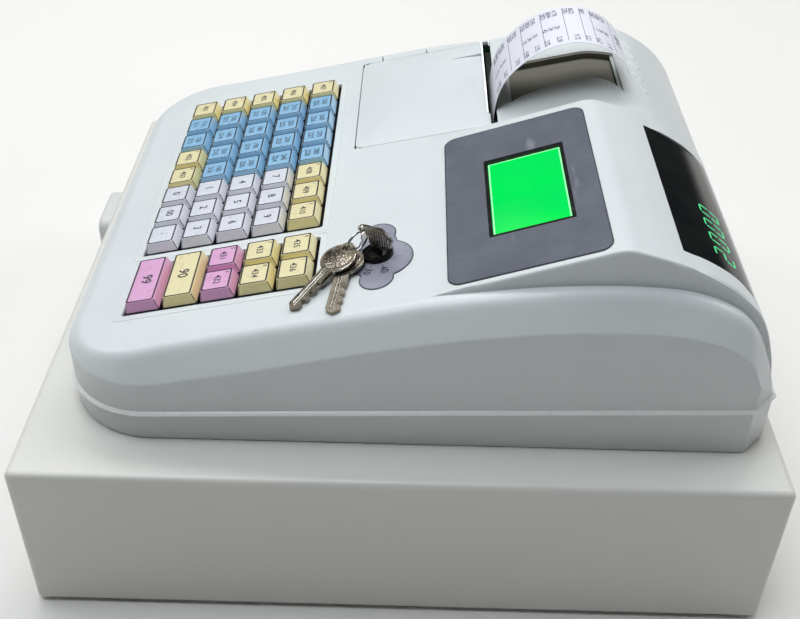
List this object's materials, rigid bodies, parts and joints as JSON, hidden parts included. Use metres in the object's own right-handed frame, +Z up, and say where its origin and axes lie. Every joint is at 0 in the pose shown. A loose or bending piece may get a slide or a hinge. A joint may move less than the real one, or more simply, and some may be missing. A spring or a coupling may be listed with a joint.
{
  "type": "ticket register",
  "caption": "Counter-top ticket register with a sliding cash drawer, sloping keypad, ticket printer, operator and customer displays and a mode lock with keys.",
  "frame": {"origin": "on the resting plane, under the middle of the whole outline", "axes": "+X is the operator's right, +Y the back, +Z up; the drawer opens towards -Y"},
  "size_m": [0.3962, 0.433, 0.2504],
  "materials": {
    "housing_paint": "satin textured paint",
    "front_paint": "satin",
    "case_plastic": "fine texture",
    "case_lower_plastic": "fine texture",
    "foot_rubber": "matte",
    "zinc_steel": "zinc plated",
    "spring_steel": "blued",
    "tray_plastic": "moulded",
    "lock_metal": "polished",
    "ticket_paper": "smooth",
    "platen_rubber": "ground",
    "motor_metal": "satin",
    "pinion_brass": "machined",
    "head_metal": "satin",
    "label_sheet": "fine texture",
    "bezel_plastic": "gloss",
    "screen": "lit",
    "dark_window": "gloss",
    "module_plastic": "matte",
    "key_bed_plastic": "matte",
    "key_white": "gloss",
    "key_yellow": "gloss",
    "key_blue": "gloss",
    "key_pink": "gloss",
    "plate_sheet": "fine texture",
    "barrel_black": "gloss",
    "key_metal": "nickel plated",
    "board": "satin",
    "inlet_plastic": "matte"
  },
  "bodies": {
    "register": {"drawer_housing": "housing_paint", "rubber_feet": "foot_rubber", "slide_rails": "zinc_steel", "latch_solenoid": "zinc_steel", "eject_spring": "spring_steel", "lower_case": "case_lower_plastic", "upper_case": "case_plastic", "printer_chassis": "zinc_steel", "printer_motor": "motor_metal", "print_head": "head_metal", "receipt_paper": "ticket_paper", "display_label": "label_sheet", "lcd_bezel": "bezel_plastic", "lcd_panel": "screen", "customer_window": "dark_window", "customer_digits": "module_plastic", "key_bed": "key_bed_plastic", "lock_plate": "plate_sheet", "lock_barrel": "barrel_black", "main_board": "board", "power_inlet": "inlet_plastic", "case_screws": "zinc_steel"},
    "drawer": {"drawer_box": "zinc_steel", "drawer_front": "front_paint", "cash_tray": "tray_plastic"},
    "drawer_lock": {"drawer_lock": "lock_metal"},
    "bill_clips": {"bill_clips": "spring_steel"},
    "latch_hook": {"latch_hook": "zinc_steel"},
    "latch_plunger": {"latch_plunger": "zinc_steel"},
    "paper_cover": {"paper_cover": "case_plastic", "tear_bar": "zinc_steel"},
    "paper_roll": {"paper_roll": "ticket_paper"},
    "platen": {"platen_roller": "platen_rubber"},
    "pinion": {"motor_pinion": "pinion_brass"},
    "mode_key": {"mode_key": "key_metal"},
    "key_ring": {"key_ring": "key_metal"},
    "spare_key_a": {"spare_key_a": "key_metal"},
    "spare_key_b": {"spare_key_b": "key_metal"},
    "key_0": {"key_0": "key_white"},
    "key_00": {"key_00": "key_white"},
    "key_point": {"key_point": "key_white"},
    "key_1": {"key_1": "key_white"},
    "key_2": {"key_2": "key_white"},
    "key_3": {"key_3": "key_white"},
    "key_4": {"key_4": "key_white"},
    "key_5": {"key_5": "key_white"},
    "key_6": {"key_6": "key_white"},
    "key_7": {"key_7": "key_white"},
    "key_8": {"key_8": "key_white"},
    "key_9": {"key_9": "key_white"},
    "key_wide_front": {"key_wide_front": "key_pink"},
    "key_wide_rear": {"key_wide_rear": "key_yellow"},
    "key_side_a": {"key_side_a": "key_pink"},
    "key_side_b": {"key_side_b": "key_pink"},
    "key_side_c": {"key_side_c": "key_yellow"},
    "key_side_d": {"key_side_d": "key_yellow"},
    "key_side_e": {"key_side_e": "key_yellow"},
    "key_side_f": {"key_side_f": "key_yellow"},
    "blue_keys": {"blue_keys": "key_blue"},
    "yellow_keys": {"yellow_keys": "key_yellow"}
  },
  "joints": [
    {"name": "drawer_slide", "type": "slide", "parent": "register", "child": "drawer", "axis": [0, -1, 0], "range_m": [0, 0.33]},
    {"name": "drawer_lock_turn", "type": "hinge", "parent": "drawer", "child": "drawer_lock", "pos_m": [-0.083, -0.2035, 0.08], "axis": [0, 1, 0], "range_deg": [0, 90]},
    {"name": "bill_clips_lift", "type": "hinge", "parent": "drawer", "child": "bill_clips", "pos_m": [0, 0.1445, 0.074], "axis": [-1, 0, 0], "range_deg": [0, 36], "stiffness_Nm_per_rad": 0.2, "springref_deg": -17.19},
    {"name": "latch_hook_turn", "type": "hinge", "parent": "register", "child": "latch_hook", "pos_m": [0, 0.2045, 0.033], "axis": [-1, 0, 0], "range_deg": [0, 15]},
    {"name": "latch_plunger_slide", "type": "slide", "parent": "register", "child": "latch_plunger", "axis": [0, 0, 1], "range_m": [0, 0.0034]},
    {"name": "paper_cover_hinge", "type": "hinge", "parent": "register", "child": "paper_cover", "pos_m": [-0.0805, -0.02604, 0.18124], "axis": [1, 0, 0], "range_deg": [0, 80]},
    {"name": "paper_roll_spin", "type": "hinge", "parent": "register", "child": "paper_roll", "pos_m": [-0.0665, 0.0145, 0.16], "axis": [1, 0, 0], "continuous": true},
    {"name": "platen_spin", "type": "hinge", "parent": "register", "child": "platen", "pos_m": [-0.0665, 0.0535, 0.183], "axis": [1, 0, 0], "continuous": true},
    {"name": "pinion_spin", "type": "hinge", "parent": "register", "child": "pinion", "pos_m": [-0.028, 0.04623, 0.1704], "axis": [1, 0, 0], "continuous": true},
    {"name": "mode_key_turn", "type": "hinge", "parent": "register", "child": "mode_key", "pos_m": [0.1046, -0.00813, 0.18658], "axis": [0, -0.2211, 0.9753], "range_deg": [0, 40]},
    {"name": "key_ring_tilt", "type": "hinge", "parent": "mode_key", "child": "key_ring", "pos_m": [0.10138, -0.01989, 0.19281], "axis": [-0.6662, -0.7172, 0.2046], "range_deg": [0, 8]},
    {"name": "spare_key_a_swing", "type": "hinge", "parent": "key_ring", "child": "spare_key_a", "pos_m": [0.1068, -0.02526, 0.19159], "axis": [0, -0.2211, 0.9753], "range_deg": [0, 4]},
    {"name": "spare_key_b_swing", "type": "hinge", "parent": "key_ring", "child": "spare_key_b", "pos_m": [0.1047, -0.02445, 0.18755], "axis": [0, -0.2211, 0.9753], "range_deg": [0, 8]},
    {"name": "key_0_press", "type": "slide", "parent": "register", "child": "key_0", "axis": [0, 0.2211, -0.9753], "range_m": [0, 0.003], "stiffness_N_per_m": 150, "springref_m": -0.002},
    {"name": "key_00_press", "type": "slide", "parent": "register", "child": "key_00", "axis": [0, 0.2211, -0.9753], "range_m": [0, 0.003], "stiffness_N_per_m": 150, "springref_m": -0.002},
    {"name": "key_point_press", "type": "slide", "parent": "register", "child": "key_point", "axis": [0, 0.2211, -0.9753], "range_m": [0, 0.003], "stiffness_N_per_m": 150, "springref_m": -0.002},
    {"name": "key_1_press", "type": "slide", "parent": "register", "child": "key_1", "axis": [0, 0.2211, -0.9753], "range_m": [0, 0.003], "stiffness_N_per_m": 150, "springref_m": -0.002},
    {"name": "key_2_press", "type": "slide", "parent": "register", "child": "key_2", "axis": [0, 0.2211, -0.9753], "range_m": [0, 0.003], "stiffness_N_per_m": 150, "springref_m": -0.002},
    {"name": "key_3_press", "type": "slide", "parent": "register", "child": "key_3", "axis": [0, 0.2211, -0.9753], "range_m": [0, 0.003], "stiffness_N_per_m": 150, "springref_m": -0.002},
    {"name": "key_4_press", "type": "slide", "parent": "register", "child": "key_4", "axis": [0, 0.2211, -0.9753], "range_m": [0, 0.003], "stiffness_N_per_m": 150, "springref_m": -0.002},
    {"name": "key_5_press", "type": "slide", "parent": "register", "child": "key_5", "axis": [0, 0.2211, -0.9753], "range_m": [0, 0.003], "stiffness_N_per_m": 150, "springref_m": -0.002},
    {"name": "key_6_press", "type": "slide", "parent": "register", "child": "key_6", "axis": [0, 0.2211, -0.9753], "range_m": [0, 0.003], "stiffness_N_per_m": 150, "springref_m": -0.002},
    {"name": "key_7_press", "type": "slide", "parent": "register", "child": "key_7", "axis": [0, 0.2211, -0.9753], "range_m": [0, 0.003], "stiffness_N_per_m": 150, "springref_m": -0.002},
    {"name": "key_8_press", "type": "slide", "parent": "register", "child": "key_8", "axis": [0, 0.2211, -0.9753], "range_m": [0, 0.003], "stiffness_N_per_m": 150, "springref_m": -0.002},
    {"name": "key_9_press", "type": "slide", "parent": "register", "child": "key_9", "axis": [0, 0.2211, -0.9753], "range_m": [0, 0.003], "stiffness_N_per_m": 150, "springref_m": -0.002},
    {"name": "key_wide_front_press", "type": "slide", "parent": "register", "child": "key_wide_front", "axis": [0, 0.2211, -0.9753], "range_m": [0, 0.003], "stiffness_N_per_m": 150, "springref_m": -0.002},
    {"name": "key_wide_rear_press", "type": "slide", "parent": "register", "child": "key_wide_rear", "axis": [0, 0.2211, -0.9753], "range_m": [0, 0.003], "stiffness_N_per_m": 150, "springref_m": -0.002},
    {"name": "key_side_a_press", "type": "slide", "parent": "register", "child": "key_side_a", "axis": [0, 0.2211, -0.9753], "range_m": [0, 0.003], "stiffness_N_per_m": 150, "springref_m": -0.002},
    {"name": "key_side_b_press", "type": "slide", "parent": "register", "child": "key_side_b", "axis": [0, 0.2211, -0.9753], "range_m": [0, 0.003], "stiffness_N_per_m": 150, "springref_m": -0.002},
    {"name": "key_side_c_press", "type": "slide", "parent": "register", "child": "key_side_c", "axis": [0, 0.2211, -0.9753], "range_m": [0, 0.003], "stiffness_N_per_m": 150, "springref_m": -0.002},
    {"name": "key_side_d_press", "type": "slide", "parent": "register", "child": "key_side_d", "axis": [0, 0.2211, -0.9753], "range_m": [0, 0.003], "stiffness_N_per_m": 150, "springref_m": -0.002},
    {"name": "key_side_e_press", "type": "slide", "parent": "register", "child": "key_side_e", "axis": [0, 0.2211, -0.9753], "range_m": [0, 0.003], "stiffness_N_per_m": 150, "springref_m": -0.002},
    {"name": "key_side_f_press", "type": "slide", "parent": "register", "child": "key_side_f", "axis": [0, 0.2211, -0.9753], "range_m": [0, 0.003], "stiffness_N_per_m": 150, "springref_m": -0.002},
    {"name": "blue_keys_press", "type": "slide", "parent": "register", "child": "blue_keys", "axis": [0, 0.2211, -0.9753], "range_m": [0, 0.003], "stiffness_N_per_m": 2000, "springref_m": -0.002},
    {"name": "yellow_keys_press", "type": "slide", "parent": "register", "child": "yellow_keys", "axis": [0, 0.2211, -0.9753], "range_m": [0, 0.003], "stiffness_N_per_m": 1200, "springref_m": -0.002}
  ],
  "couplings": [
    {"joint": "pinion_spin", "follows": "platen_spin", "ratio": -2},
    {"joint": "latch_plunger_slide", "follows": "latch_hook_turn", "m_per_rad": 0.012223}
  ]
}
